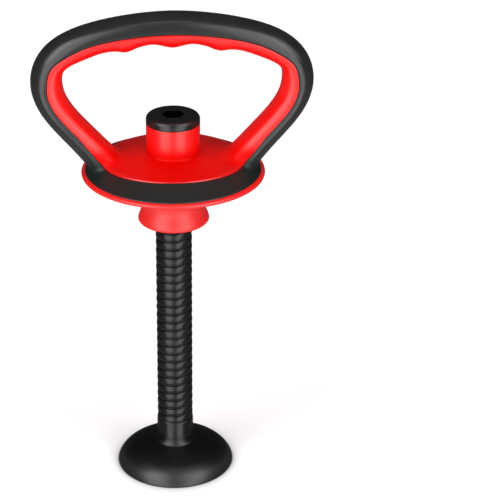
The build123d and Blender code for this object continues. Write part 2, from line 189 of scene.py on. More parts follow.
def smin(a, b, k):
    h = np.maximum(k - np.abs(a - b), 0.0) / k
    return np.minimum(a, b) - h * h * k * 0.25


def smax(a, b, k):
    return -smin(-a, -b, k)


def implicit_quarter(name, field, hi, zr, h, sharp_deg=None, relax=2, mirror=True):
    nx = int(hi[0] / h) + 3
    ny = int(hi[1] / h) + 3
    x = (np.arange(nx) - 0.5) * h
    y = (np.arange(ny) - 0.5) * h
    z = np.arange(zr[0] - h, zr[1] + 2 * h, h)
    nz = len(z)
    V = field(x[:, None, None], y[None, :, None], z[None, None, :]).astype(np.float32)
    S = V < 0
    cnt = np.zeros((nx - 1, ny - 1, nz - 1), np.int8)
    for dx in (0, 1):
        for dy in (0, 1):
            for dz in (0, 1):
                cnt += S[dx:nx - 1 + dx, dy:ny - 1 + dy, dz:nz - 1 + dz]
    act = (cnt > 0) & (cnt < 8)
    idx = np.full(act.shape, -1, np.int64)
    ii, jj, kk = np.nonzero(act)
    idx[ii, jj, kk] = np.arange(len(ii))
    # vertex: mean of the edge crossings of its cell
    acc = np.zeros((len(ii), 3))
    num = np.zeros(len(ii))
    corners = {}
    for dx in (0, 1):
        for dy in (0, 1):
            for dz in (0, 1):
                corners[dx, dy, dz] = V[ii + dx, jj + dy, kk + dz].astype(float)
    for c, v in corners.items():
        for ax in range(3):
            if c[ax] == 0:
                d = list(c)
                d[ax] = 1
                w = corners[tuple(d)]
                cross = (v < 0) != (w < 0)
                t = np.where(cross, v / np.where(cross, v - w, 1.0), 0.0)
                p = np.array(c, float)[None, :] + np.zeros((len(ii), 3))
                p[:, ax] += t
                acc += np.where(cross[:, None], p, 0)
                num += cross
    P = acc / num[:, None]
    P = np.stack([x[ii] + P[:, 0] * h, y[jj] + P[:, 1] * h, z[kk] + P[:, 2] * h], 1)
    on_x, on_y = ii == 0, jj == 0
    quads = []

    def add(a, b, c, d, flip):
        q = np.stack([a, b, c, d], 1)
        q[flip] = q[flip][:, ::-1]
        quads.append(q)

    # faces across the grid's edges that change sign
    e = S[:-1, 1:-1, 1:-1] != S[1:, 1:-1, 1:-1]
    a, b, c = np.nonzero(e)
    b1, c1 = b + 1, c + 1
    add(idx[a, b1 - 1, c1 - 1], idx[a, b1, c1 - 1], idx[a, b1, c1], idx[a, b1 - 1, c1], ~S[a, b1, c1])
    e = S[1:-1, :-1, 1:-1] != S[1:-1, 1:, 1:-1]
    a, b, c = np.nonzero(e)
    a1, c1 = a + 1, c + 1
    add(idx[a1 - 1, b, c1 - 1], idx[a1 - 1, b, c1], idx[a1, b, c1], idx[a1, b, c1 - 1], ~S[a1, b, c1])
    e = S[1:-1, 1:-1, :-1] != S[1:-1, 1:-1, 1:]
    a, b, c = np.nonzero(e)
    a1, b1 = a + 1, b + 1
    add(idx[a1 - 1, b1 - 1, c], idx[a1, b1 - 1, c], idx[a1, b1, c], idx[a1 - 1, b1, c], ~S[a1, b1, c])
    F = np.concatenate(quads)
    F = F[(F >= 0).all(1)]

    def grad(P, d=0.02):
        g = np.zeros_like(P)
        for ax in range(3):
            A, B = P.copy(), P.copy()
            A[:, ax] += d
            B[:, ax] -= d
            g[:, ax] = (field(A[:, 0], A[:, 1], A[:, 2]) - field(B[:, 0], B[:, 1], B[:, 2])) / (2 * d)
        return g

    def project(P, times):
        for _ in range(times):
            f = field(P[:, 0], P[:, 1], P[:, 2])
            g = grad(P)
            step = (f / np.maximum((g * g).sum(1), 1e-3))[:, None] * g
            ln = np.linalg.norm(step, axis=1, keepdims=True)
            step *= np.minimum(1.0, 0.6 * h / np.maximum(ln, 1e-9))
            P = P - step
            P[on_x, 0] = 0.0
            P[on_y, 1] = 0.0
        return P

    P[on_x, 0] = 0.0
    P[on_y, 1] = 0.0
    P = project(P, 3)
    # even out the quads in the surface, then back onto it
    for _ in range(relax):
        acc = np.zeros_like(P)
        num = np.zeros(len(P))
        for u, v in ((0, 1), (1, 2), (2, 3), (3, 0)):
            for s, t in ((u, v), (v, u)):
                for c in range(3):
                    acc[:, c] += np.bincount(F[:, s], P[F[:, t], c], len(P))
                num += np.bincount(F[:, s], minlength=len(P))
        avg = acc / np.maximum(num, 1)[:, None]
        g = grad(P)
        nrm = g / np.maximum(np.linalg.norm(g, axis=1, keepdims=True), 1e-6)
        mv = (avg - P) * 0.5
        mv -= nrm * (mv * nrm).sum(1, keepdims=True)
        mv[on_x | on_y] = 0
        P = project(P + mv, 1)
    P = project(P, 2)
    if not mirror:
        return make_object(name, P, F, sharp_deg)
    allP, allF, base = [], [], 0
    # quarters share the vertices that lie on the mirror planes
    n = len(P)
    keys = np.full((4, n), -1, np.int64)
    out = []
    for q, (sx, sy) in enumerate(((1, 1), (-1, 1), (1, -1), (-1, -1))):
        own = np.ones(n, bool)
        if sx < 0:
            own &= ~on_x
        if sy < 0:
            own &= ~on_y
        ids = np.nonzero(own)[0]
        keys[q, ids] = base + np.arange(len(ids))
        base += len(ids)
        out.append(P[ids] * [sx, sy, 1])
        rest = np.nonzero(~own)[0]
        for r in ([0, 1, 2] if q == 3 else [0]):
            fill = rest[keys[q, rest] < 0]
            if q == 1:
                keys[q, fill] = keys[0, fill]
            elif q == 2:
                keys[q, fill] = keys[0, fill]
            elif q == 3:
                both = fill[on_x[fill] & on_y[fill]]
                keys[q, both] = keys[0, both]
                fx = fill[on_x[fill] & ~on_y[fill]]
                keys[q, fx] = keys[2, fx]
                fy = fill[~on_x[fill] & on_y[fill]]
                keys[q, fy] = keys[1, fy]
                break
        f = keys[q][F]
        if sx * sy < 0:
            f = f[:, ::-1]
        allF.append(f)
    return make_object(name, np.concatenate(out), np.concatenate(allF), sharp_deg)


# ---------------------------------------------------------------------------
# The loop: its section follows a centre line in the XZ plane
# ---------------------------------------------------------------------------
# x, z of the parting line, direction of the outward normal, thickness outside
# and thickness inside the parting line
stations = np.array([
    (35.10, 238.50, -43.90, 11.23, 11.60),
    (43.55, 247.33, -43.90, 11.23, 11.60),
    (48.22, 252.68, -38.62, 10.88, 11.60),
    (52.68, 258.42, -37.01, 10.98, 12.09),
    (57.03, 264.07, -37.53, 11.10, 11.48),
    (61.36, 269.44, -39.19, 11.08, 11.25),
    (65.74, 274.52, -41.02, 10.94, 11.23),
    (70.19, 279.50, -42.02, 10.77, 11.25),
    (74.74, 284.57, -41.42, 10.62, 11.28),
    (79.27, 289.91, -38.82, 10.53, 11.38),
    (83.61, 295.63, -33.93, 10.42, 11.67),
    (86.87, 300.91, -27.57, 10.37, 12.01),
    (89.38, 306.49, -18.91, 10.39, 12.34),
    (90.88, 312.27, -8.01, 10.52, 12.51),
    (91.04, 318.11, 4.25, 10.89, 12.32),
    (89.71, 323.70, 16.51, 11.54, 11.61),
    (87.25, 328.86, 27.81, 12.09, 10.72),
    (83.86, 333.45, 37.84, 12.50, 9.91),
    (79.80, 337.47, 46.71, 12.65, 9.72),
    (75.23, 340.97, 54.51, 12.55, 10.13),
    (69.37, 344.36, 62.29, 12.34, 10.64),
    (63.11, 347.15, 68.61, 12.12, 10.81),
    (56.53, 349.36, 73.52, 12.05, 10.56),
    (50.72, 350.93, 76.68, 12.05, 10.48),
    (46.30, 351.92, 78.49, 12.10, 10.78),
    (42.34, 352.70, 79.78, 12.16, 11.41),
    (38.35, 353.40, 80.84, 12.22, 12.23),
    (34.36, 354.01, 81.75, 12.30, 12.83),
    (30.37, 354.56, 82.56, 12.37, 12.83),
    (26.38, 355.05, 83.36, 12.42, 12.06),
    (22.41, 355.49, 84.17, 12.47, 10.84),
    (18.44, 355.86, 85.03, 12.51, 9.93),
    (14.49, 356.18, 85.96, 12.54, 9.88),
    (10.54, 356.42, 86.98, 12.57, 10.65),
    (6.61, 356.59, 88.07, 12.60, 11.76),
    (3.17, 356.68, 89.07, 12.62, 12.52),
    (0.00, 356.70, 90.00, 12.65, 12.78),
])
mir = stations[-2:-6:-1].copy()
mir[:, 0] *= -1
mir[:, 2] = 180 - mir[:, 2]
line_src = np.vstack([stations, mir])
half_depth = 14.5


def dense_line(src, step=0.5):
    """Catmull-Rom through the stations, by arc length."""
    s = np.r_[0, np.cumsum(np.linalg.norm(np.diff(src[:, :2], axis=0), axis=1))]
    n = int(s[-1] / step)
    t = np.linspace(0, s[-1], n)
    out = np.zeros((n, src.shape[1]))
    k = np.clip(np.searchsorted(s, t, side="right") - 1, 0, len(s) - 2)
    h = s[k + 1] - s[k]
    u = (t - s[k]) / h
    for c in range(src.shape[1]):
        m = np.gradient(src[:, c], s)
        y0, y1, m0, m1 = src[k, c], src[k + 1, c], m[k], m[k + 1]
        out[:, c] = ((2 * u ** 3 - 3 * u ** 2 + 1) * y0 + (u ** 3 - 2 * u ** 2 + u) * h * m0
                     + (-2 * u ** 3 + 3 * u ** 2) * y1 + (u ** 3 - u ** 2) * h * m1)
    return out


line = dense_line(line_src)
L_x, L_z = line[:, 0], line[:, 1]
L_nx, L_nz = np.cos(np.radians(line[:, 2])), np.sin(np.radians(line[:, 2]))
seg = np.stack([np.diff(L_x), np.diff(L_z)], 1)
seg_len2 = (seg ** 2).sum(1)


def loop_direct(X, Z):
    """Signed distance outward from the centre line, and the two half thicknesses."""
    d = np.empty(len(X)); o = np.empty(len(X)); i = np.empty(len(X))
    for a in range(0, len(X), 20000):
        xa, za = X[a:a + 20000], Z[a:a + 20000]
        D = (xa[:, None] - L_x[None, :]) ** 2 + (za[:, None] - L_z[None, :]) ** 2
        k = D.argmin(1)
        k = np.clip(k, 0, len(L_x) - 2)
        # refine on the two neighbouring segments
        best_t, best_k, best_d = None, None, None
        for kk in (np.clip(k - 1, 0, len(seg) - 1), k):
            t = ((xa - L_x[kk]) * seg[kk, 0] + (za - L_z[kk]) * seg[kk, 1]) / seg_len2[kk]
            t = np.clip(t, 0, 1)
            dd = (xa - L_x[kk] - t * seg[kk, 0]) ** 2 + (za - L_z[kk] - t * seg[kk, 1]) ** 2
            if best_d is None:
                best_t, best_k, best_d = t, kk, dd
            else:
                m = dd < best_d
                best_t = np.where(m, t, best_t)
                best_k = np.where(m, kk, best_k)
                best_d = np.minimum(dd, best_d)
        kk, t = best_k, best_t
        px, pz = L_x[kk] + t * seg[kk, 0], L_z[kk] + t * seg[kk, 1]
        nx = L_nx[kk] * (1 - t) + L_nx[kk + 1] * t
        nz = L_nz[kk] * (1 - t) + L_nz[kk + 1] * t
        sgn = np.sign((xa - px) * nx + (za - pz) * nz)
        d[a:a + 20000] = np.sqrt(best_d) * sgn
        o[a:a + 20000] = line[kk, 3] * (1 - t) + line[kk + 1, 3] * t
        i[a:a + 20000] = line[kk, 4] * (1 - t) + line[kk + 1, 4] * t
    return d, o, i


# the same, looked up in a table, because it is asked for many times
tab_h = 0.25
tab_x = np.arange(-6.0, 110.0, tab_h)
tab_z = np.arange(236.0, 376.0, tab_h)
gx, gz = np.meshgrid(tab_x, tab_z, indexing="ij")
tab = np.stack([t.reshape(gx.shape) for t in loop_direct(gx.ravel(), gz.ravel())], 2)


def loop_coords(x, z):
    u = np.clip((x - tab_x[0]) / tab_h, 0, len(tab_x) - 1.001)
    v = np.clip((z - tab_z[0]) / tab_h, 0, len(tab_z) - 1.001)
    u, v = np.broadcast_arrays(u, v)
    a, b = u.astype(int), v.astype(int)
    fu, fv = (u - a)[..., None], (v - b)[..., None]
    r = (tab[a, b] * (1 - fu) * (1 - fv) + tab[a + 1, b] * fu * (1 - fv)
         + tab[a, b + 1] * (1 - fu) * fv + tab[a + 1, b + 1] * fu * fv)
    return r[..., 0], r[..., 1], r[..., 2]


def section_field(d, o, i, y, off=0.0):
    """Ellipse outside the parting line, fuller oval inside it."""
    a = np.where(d > 0, o, i) - off
    b = half_depth - off
    p = np.where(d > 0, 2.0, 2.0 + 0.5 * np.clip(-d / 2.0, 0, 1))
    u, v = np.abs(d) / a, np.abs(y) / b
    u, v = np.maximum(u, 1e-5), np.maximum(v, 1e-5)
    k0 = (u ** p + v ** p) ** (1 / p)
    g = np.sqrt((u ** (p - 1) / a) ** 2 + (v ** (p - 1) / b) ** 2) / np.maximum(k0, 1e-4) ** (p - 1)
    return (k0 - 1) / np.maximum(g, 1e-4)


# top plate, hub and band
dome_top, dome_k = 263.3, 0.00237
oval_a, oval_b = 52.2, 47.2
plate_z0 = 249.62
hub_top = 285.0
band_r, band_z, band_slope = 64.3, 249.5, 0.487


def oval_field(x, y, grow=0.0):
    a, b = oval_a + grow, oval_b + grow
    k0 = np.sqrt((x / a) ** 2 + (y / b) ** 2)
    k1 = np.sqrt((x / a ** 2) ** 2 + (y / b ** 2) ** 2)
    return k0 * (k0 - 1) / np.maximum(k1, 1e-4)


def seam_at(x, z):
    """Distance of the seam between red and black from the parting line."""
    low = np.clip((281.0 - z) / 13.0, 0, 1)
    foot = np.clip((263.0 - z) / 9.0, 0, 1)
    high = np.clip((z - 340.0) / 8.0, 0, 1)
    corner = np.exp(-((z - 332.5) / 9.0) ** 2)
    return (-1.2 + 1.0 * low * low * (3 - 2 * low) - 0.4 * foot * foot * (3 - 2 * foot)
            + 0.85 * high + 2.2 * corner)


def red_field(x, y, z):
    d, o, i = loop_coords(x, z)
    ax = np.abs(x)
    top = np.clip((z - 332.0) / 10.0, 0, 1)
    i = i + top * (-0.35 - 0.75 * np.exp(-((ax - 25.0) / 4.0) ** 2) + 0.75 * np.exp(-((ax - 34.5) / 4.0) ** 2)
                   + 0.4 * np.exp(-(ax / 5.0) ** 2))
    i = i - 0.75 * np.exp(-((z - 285.0) / 15.0) ** 2) - 1.0 * np.exp(-((z - 328.0) / 6.0) ** 2)
    seam = seam_at(x, z)
    leg = smax(section_field(d, o, i, y, 0.05), d - seam, 0.6)
    r2 = x * x + y * y
    dome = (z - (dome_top - dome_k * r2)) * 0.975
    plate = smax(dome, oval_field(x, y), 0.8)
    f = smin(leg, plate, 2.5 + 5.5 * np.clip((seam - 0.5 - d) / 3.0, 0, 1))
    r = np.sqrt(r2)
    hub = smax(r - 19.72, z - hub_top, 0.5)
    f = smin(f, hub, 1.1)
    f = np.where(z < 300.0, np.maximum(f, 15.06 - r), f)
    return np.maximum(f, plate_z0 - z)


def black_field(x, y, z):
    d, o, i = loop_coords(x, z)
    leg = smax(section_field(d, o, i, y, 0.03), seam_at(x, z) - 0.9 - d, 1.0)
    r = np.sqrt(x * x + y * y)
    top = (z - (band_z + band_slope * (band_r - r))) * 0.899
    band = smax(top, r - band_r, 0.5)
    band = np.maximum(band, -(oval_field(x, y, -3.0)))
    f = smin(leg, band, 4.0)
    under = plate_z0 + 0.02 - np.clip((r - 60.6) * 2.0, 0, 1.35)
    f = np.maximum(f, under - z)
    red = red_field(x, y, z)
    return smax(f, 0.20 - red, 0.7)


H = 0.65
red = implicit_quarter("handle_red", red_field, (103.0, 50.0), (plate_z0, 357.0), H)
black = implicit_quarter("grip_black", black_field, (103.0, 67.5), (plate_z0 - 2.0, 370.0), H)

# ---------------------------------------------------------------------------
# Threaded post: one helical strip on a plain neck
# ---------------------------------------------------------------------------
crest_r, root_r, neck_r, pitch, groove_z0 = 13.62, 12.2, 13.9, 6.8, 39.59
post_top = 235.9


def post_mesh():
    N = 120
    # profile over one pitch from groove centre to groove centre: (fraction, radius)
    g = [(0.0, root_r), (0.018, root_r + 0.02), (0.034, root_r + 0.12), (0.050, root_r + 0.38),
         (0.064, crest_r - 0.82), (0.080, crest_r - 0.60), (0.098, crest_r - 0.46), (0.118, crest_r - 0.375)]
    g += [(f, crest_r - ((0.5 - f) * pitch) ** 2 / (2 * 10.5)) for f in (0.14, 0.19, 0.24, 0.30, 0.36, 0.43)]
    prof = g + [(0.5, crest_r)] + [(1 - f, r) for f, r in g[::-1]][:-1]
    fr = np.array([p[0] for p in prof]); rr = np.array([p[1] for p in prof])
    M = len(prof)
    turns = 31
    rows = turns * M
    z_start = groove_z0 - pitch
    u = np.arange(rows + 1)
    frac = (u // M) + fr[u % M]
    rad = rr[u % M]
    th = np.arange(N) * 2 * pi / N
    Z = z_start + pitch * (frac[:, None] + th[None, :] / (2 * pi))
    R = np.repeat(rad[:, None], N, 1).astype(float)
    # the thread's upper end has a lead-in
    R = np.minimum(R, np.clip(root_r + (post_top - Z) * 0.75, 0, None))
    R = np.maximum(R, 11.0)
    Z = np.minimum(Z, post_top)
    # position along the post in turns from the first groove
    turn_pos = (Z - (groove_z0 + 0.0)) / pitch
    V = np.stack([R * np.cos(th)[None, :], R * np.sin(th)[None, :], Z], 2)
    idx = np.arange((rows + 1) * N).reshape(rows + 1, N)
    faces = []
    for a in range(rows):
        for j in range(N - 1):
            faces.append((idx[a, j], idx[a, j + 1], idx[a + 1, j + 1], idx[a + 1, j]))
        if a + 1 + M <= rows:
            # the strip's last column meets the first one a pitch higher
            faces.append((idx[a, N - 1], idx[a + M, 0], idx[a + M + 1, 0], idx[a + 1, N - 1]))
    return V.reshape(-1, 3), faces


verts, faces = post_mesh()
# drop everything under the neck's top and above the post's end, then close it
thread = make_object("post_thread", verts, faces, 50.0)
bm = bmesh.new()
bm.from_mesh(thread.data)
geom = bm.verts[:] + bm.edges[:] + bm.faces[:]
bmesh.ops.bisect_plane(bm, geom=geom, plane_co=(0, 0, 36.0 * MM), plane_no=(0, 0, 1), clear_inner=True)
geom = bm.verts[:] + bm.edges[:] + bm.faces[:]
bmesh.ops.bisect_plane(bm, geom=geom, plane_co=(0, 0, (post_top - 0.02) * MM), plane_no=(0, 0, 1), clear_outer=True)
bmesh.ops.holes_fill(bm, edges=[e for e in bm.edges if e.is_boundary], sides=0)
bmesh.ops.recalc_face_normals(bm, faces=bm.faces)
bm.to_mesh(thread.data)
bm.free()

neck = lathe("post_neck", [(0, 17.0), (neck_r - 0.2, 17.0), (neck_r, 17.4)]
             + [(neck_r, z) for z in np.linspace(18, 38.0, 8)]
             + arc_pts(neck_r - 0.9, 38.2, 0.9, 0, 90, 7) + [(0, 39.1)], 144)

# ---------------------------------------------------------------------------
# Domed foot
# ---------------------------------------------------------------------------
foot_profile = (
    [(0, 24.0), (neck_r - 0.15, 24.0), (neck_r - 0.02, 24.6)]
    + spline_pts([(neck_r + 0.0, 24.6), (neck_r + 0.04, 23.0), (neck_r + 0.25, 21.7), (neck_r + 0.75, 20.5), (neck_r + 1.6, 19.5),
                  (neck_r + 3.1, 18.7), (21.5, 17.5), (26.0, 16.1), (30.0, 14.6), (34.0, 12.8), (36.8, 11.1), (39.4, 9.1),
                  (41.5, 7.0), (43.1, 4.9), (44.15, 3.0), (44.6, 1.6)], 8)
    + [(44.75, 0.9), (44.72, 0.6), (44.6, 0.35), (44.3, 0.2), (43.0, 0.1), (43.0, 2.4), (38.9, 2.4), (38.9, 4.8), (12.6, 4.8), (12.6, 10.4), (0, 10.4)]
)
foot = lathe("foot_dome", foot_profile, 192, 40)

# ---------------------------------------------------------------------------
# Hub cap with its key socket
# ---------------------------------------------------------------------------
N = 192
cap_rings = [circle_ring(15.0, 281.3, N), circle_ring(15.0, 285.05, N)]
cap_rings += [circle_ring(r, z, N) for r, z in
              [(19.4, 285.05), (19.62, 285.15), (19.7, 285.4), (19.72, 286.6), (19.72, 287.9)]]
cap_rings += [circle_ring(r, z, N) for r, z in arc_pts(16.32, 288.1, 3.4, 4, 90, 14)]
cap_rings += [circle_ring(r, 291.5, N) for r in (14.5, 11.5)]
cap_rings += [hex_ring(15.2, 291.5, N), hex_ring(14.95, 291.47, N), hex_ring(14.75, 291.35, N), hex_ring(14.7, 291.1, N)]
socket_row = len(cap_rings) - 1
cap_rings += [hex_ring(14.7, 288.0, N), hex_ring(14.7, 282.2, N), hex_ring(14.1, 282.0, N), hex_ring(6.0, 281.9, N)]
v, f = rings_mesh(cap_rings)
cap = make_object("cap_black", v, f, 32)

# ---------------------------------------------------------------------------
# Lower flange with its flared collar
# ---------------------------------------------------------------------------
flange_profile = (
    [(22.0, 249.55), (60.5, 249.55), (61.2, 248.2), (64.45, 248.2), (64.55, 249.2), (65.3, 249.05)]
    + arc_pts(65.85, 247.3, 1.6, 78, -80, 16)
    + spline_pts([(66.1, 245.72), (60.0, 244.8), (52, 243.4), (42, 241.4), (34.5, 238.6), (28.6, 233.8), (24.8, 227.8), (23.3, 221.8),
                  (24.1, 216.6), (25.5, 212.9), (26.35, 210.4)], 10)
    + spline_pts([(26.35, 210.4), (26.4, 209.5), (26.0, 208.5), (24.9, 207.5), (23.0, 206.9)], 6)
    + [(21.3, 206.8), (21.0, 206.85), (21.9, 206.9), (21.9, 207.7), (21.0, 207.7), (21.0, 209.2), (17.5, 209.2),
       (17.5, 238.45), (22.0, 238.45), (22.0, 249.55)]
)
flange = lathe("flange_red", flange_profile, 192, 40)

# ---------------------------------------------------------------------------
# Every piece rides on its CAD body and stands for its CAD node
# ---------------------------------------------------------------------------
for ob in (red, black, flange, cap, foot, neck, thread):
    fix_normals(ob)
for ob, body, names, slot in (
    (red, "handle", ["handle_frame"], "red_plastic"),
    (black, "handle", ["grip_overmould"], "black_grip"),
    (flange, "handle", ["lower_flange"], "red_plastic"),
    (cap, "handle", ["hub_cap"], "black_plastic"),
    (foot, "stand", ["base_foot"], "black_plastic"),
    (neck, "stand", ["threaded_post"], "black_plastic"),
    (thread, "stand", ["threaded_post"], "black_plastic"),
):
    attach(ob, body)
    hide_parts(*names)

# ---------------------------------------------------------------------------
# Materials
# ---------------------------------------------------------------------------


FLOOR_GLOW = (0.13, 0.30, 1.0)      # near, a metre off, far away
ROOM = [(-1, 0.35), (-0.85, 0.30), (-0.70, 0.15), (-0.5, 0.08), (-0.3, 0.05), (0.0, 0.04), (0.6, 0.03), (1, 0.06)]
PANELS = [
    ("soft_left", (-0.908, -1.41, -1.20), (-0.86, -0.66, 2.30), 1.16, 2.6, True),
    ("soft_right", (0.688, -1.468, -1.20), (0.76, -0.72, 2.30), 0.98, 2.6, True),
    ("soft_left_high", (-1.30, -0.75, 0.75), (-1.18, -0.60, 2.00), 0.9, 1.8, True),
    ("soft_right_high", (1.30, -0.75, 0.75), (1.18, -0.60, 2.00), 0.9, 1.8, True),
    ("soft_front_top", (0.0, -0.80, 2.4), (0.0, -0.42, 2.6), 0.9, 1.3, True),
    ("soft_front_low", (0.0, -1.5, -1.10), (0.0, -1.5, 0.30), 0.7, 0.45, True),
    ("soft_front", (0.0, -2.4, 0.0), (0.0, -2.4, 1.4), 3.0, 0.15, False),
    ("soft_top", (0.0, -1.2, 3.0), (0.0, 2.8, 3.0), 4.5, 0.70, False),
    ("soft_back", (0.0, 2.6, 0.2), (0.0, 2.6, 2.2), 4.0, 1.2, False),
]


def new_material(name):
    m = bpy.data.materials.new(name)
    m.use_nodes = True
    nt = m.node_tree
    for n in list(nt.nodes):
        nt.nodes.remove(n)
    out = nt.nodes.new("ShaderNodeOutputMaterial")
    bsdf = nt.nodes.new("ShaderNodeBsdfPrincipled")
    nt.links.new(bsdf.outputs["BSDF"], out.inputs["Surface"])
    tc = nt.nodes.new("ShaderNodeTexCoord")
    return m, nt, bsdf, tc


def noise(nt, tc, scale, detail=3.0, rough=0.5, dist=0.0):
    n = nt.nodes.new("ShaderNodeTexNoise")
    n.inputs["Scale"].default_value = scale
    n.inputs["Detail"].default_value = detail
    n.inputs["Roughness"].default_value = rough
    n.inputs["Distortion"].default_value = dist
    nt.links.new(tc.outputs["Object"], n.inputs["Vector"])
    return n


def ramp(nt, src, c0, c1, p0=0.35, p1=0.65):
    r = nt.nodes.new("ShaderNodeValToRGB")
    r.color_ramp.elements[0].position = p0
    r.color_ramp.elements[1].position = p1
    r.color_ramp.elements[0].color = (*c0, 1)
    r.color_ramp.elements[1].color = (*c1, 1)
    nt.links.new(src, r.inputs["Fac"])
    return r


def maprange(nt, src, a, b, lo, hi):
    m = nt.nodes.new("ShaderNodeMapRange")
    m.inputs["From Min"].default_value = a
    m.inputs["From Max"].default_value = b
    m.inputs["To Min"].default_value = lo
    m.inputs["To Max"].default_value = hi
    nt.links.new(src, m.inputs["Value"])
    return m


def bump(nt, bsdf, height, strength, distance, chain=None):
    b = nt.nodes.new("ShaderNodeBump")
    b.inputs["Strength"].default_value = strength
    b.inputs["Distance"].default_value = distance
    nt.links.new(height, b.inputs["Height"])
    if chain is not None:
        nt.links.new(chain.outputs["Normal"], b.inputs["Normal"])
    nt.links.new(b.outputs["Normal"], bsdf.inputs["Normal"])
    return b


def moulded(name, c0, c1, r0, r1, grain, depth, spec=0.5, coat=0.0, coat_rough=0.2):
    m, nt, bsdf, tc = new_material(name)
    cloud = noise(nt, tc, 22.0, 4.0)
    nt.links.new(ramp(nt, cloud.outputs["Fac"], c0, c1).outputs["Color"], bsdf.inputs["Base Color"])
    rn = noise(nt, tc, 60.0, 5.0)
    nt.links.new(maprange(nt, rn.outputs["Fac"], 0.3, 0.7, r0, r1).outputs["Result"], bsdf.inputs["Roughness"])
    g = noise(nt, tc, grain, 2.0, 0.6)
    bump(nt, bsdf, g.outputs["Fac"], 1.0, depth)
    bsdf.inputs["Specular IOR Level"].default_value = spec
    bsdf.inputs["Coat Weight"].default_value = coat
    bsdf.inputs["Coat Roughness"].default_value = coat_rough
    return m


m_red = moulded("red_plastic", (0.66, 0.0014, 0.0008), (0.70, 0.0020, 0.0011), 0.27, 0.33, 1400.0, 0.00002, 0.58)
m_flange = moulded("red_plastic_satin", (0.66, 0.0014, 0.0008), (0.70, 0.0020, 0.0011), 0.40, 0.46, 1400.0, 0.00002, 0.8)
m_grip = moulded("black_grip", (0.0125, 0.0126, 0.0124), (0.0150, 0.0151, 0.0148), 0.21, 0.26, 1700.0, 0.00001)
m_black = moulded("black_plastic", (0.0054, 0.0054, 0.0054), (0.0068, 0.0068, 0.0068), 0.24, 0.30, 1500.0, 0.00002, 0.44)
m_foot = moulded("black_foot", (0.0012, 0.0012, 0.0012), (0.0018, 0.0018, 0.0018), 0.33, 0.39, 1500.0, 0.00002, 0.6)
m_cap = moulded("black_cap", (0.0060, 0.0060, 0.0060), (0.0080, 0.0080, 0.0080), 0.26, 0.31, 1500.0, 0.00002)
# near-black, nearly without specular, for the key socket's walls: painted shade in the recess
m_socket_painted_shade = moulded("socket_painted_shade", (0.0004, 0.0004, 0.0004), (0.0007, 0.0007, 0.0007), 0.60, 0.70, 1500.0, 0.00002, 0.02)
# the foot's outer slope is painted paler than its top, a painted highlight, and its bottom edge is painted dark, a
# painted shade line at the floor
nt = m_foot.node_tree
bsdf = next(n for n in nt.nodes if n.type == "BSDF_PRINCIPLED")
tc = next(n for n in nt.nodes if n.type == "TEX_COORD")
fs = nt.nodes.new("ShaderNodeSeparateXYZ")
nt.links.new(tc.outputs["Object"], fs.inputs["Vector"])
painted_highlight_and_shade = nt.nodes.new("ShaderNodeValToRGB")
painted_highlight_and_shade.color_ramp.interpolation = "EASE"
pe = painted_highlight_and_shade.color_ramp.elements
pe[0].position, pe[0].color = 0.04, (0.0015, 0.0015, 0.0015, 1)
pe[1].position, pe[1].color = 0.72, (0.0010, 0.0010, 0.0010, 1)
# the pale values are the painted highlight on the slope; the low first value is the painted shade at the bottom edge
for p, v in ((0.08, 0.0125), (0.34, 0.0125), (0.50, 0.003)):
    e = pe.new(p)
    e.color = (v, v, v * 1.02, 1)
nt.links.new(maprange(nt, fs.outputs["Z"], 0.0, 0.020, 0.0, 1.0).outputs["Result"], painted_highlight_and_shade.inputs["Fac"])
nt.links.new(painted_highlight_and_shade.outputs["Color"], bsdf.inputs["Base Color"])
nt = m_grip.node_tree
bsdf = next(n for n in nt.nodes if n.type == "BSDF_PRINCIPLED")
tc = next(n for n in nt.nodes if n.type == "TEX_COORD")
gs = nt.nodes.new("ShaderNodeSeparateXYZ")
nt.links.new(tc.outputs["Object"], gs.inputs["Vector"])
add = nt.nodes.new("ShaderNodeMath")
add.operation = "ADD"
nt.links.new(bsdf.inputs["Roughness"].links[0].from_socket, add.inputs[0])
nt.links.new(maprange(nt, gs.outputs["Z"], 0.257, 0.262, 0.26, 0.0).outputs["Result"], add.inputs[1])
nt.links.new(add.outputs["Value"], bsdf.inputs["Roughness"])
# the band round the disc is a little darker than the loop
tone = nt.nodes.new("ShaderNodeMixRGB")
tone.inputs["Color2"].default_value = (0.0042, 0.0090, 0.0084, 1.0)
nt.links.new(bsdf.inputs["Base Color"].links[0].from_socket, tone.inputs["Color1"])
nt.links.new(maprange(nt, gs.outputs["Z"], 0.257, 0.264, 1.0, 0.0).outputs["Result"], tone.inputs["Fac"])
nt.links.new(tone.outputs["Color"], bsdf.inputs["Base Color"])
# the oval plate is painted a deeper, duller red than the hub and the legs: painted shade on its upward-facing top
nt = m_red.node_tree
bsdf = next(n for n in nt.nodes if n.type == "BSDF_PRINCIPLED")
tc = next(n for n in nt.nodes if n.type == "TEX_COORD")
rs = nt.nodes.new("ShaderNodeSeparateXYZ")
nt.links.new(tc.outputs["Object"], rs.inputs["Vector"])
plate_painted_shade = nt.nodes.new("ShaderNodeMixRGB")
plate_painted_shade.blend_type = "MULTIPLY"
plate_painted_shade.inputs["Color2"].default_value = (0.86, 0.72, 0.40, 1.0)
nt.links.new(bsdf.inputs["Base Color"].links[0].from_socket, plate_painted_shade.inputs["Color1"])
nt.links.new(maprange(nt, rs.outputs["Z"], 0.2640, 0.2700, 1.0, 0.0).outputs["Result"], plate_painted_shade.inputs["Fac"])
nt.links.new(plate_painted_shade.outputs["Color"], bsdf.inputs["Base Color"])
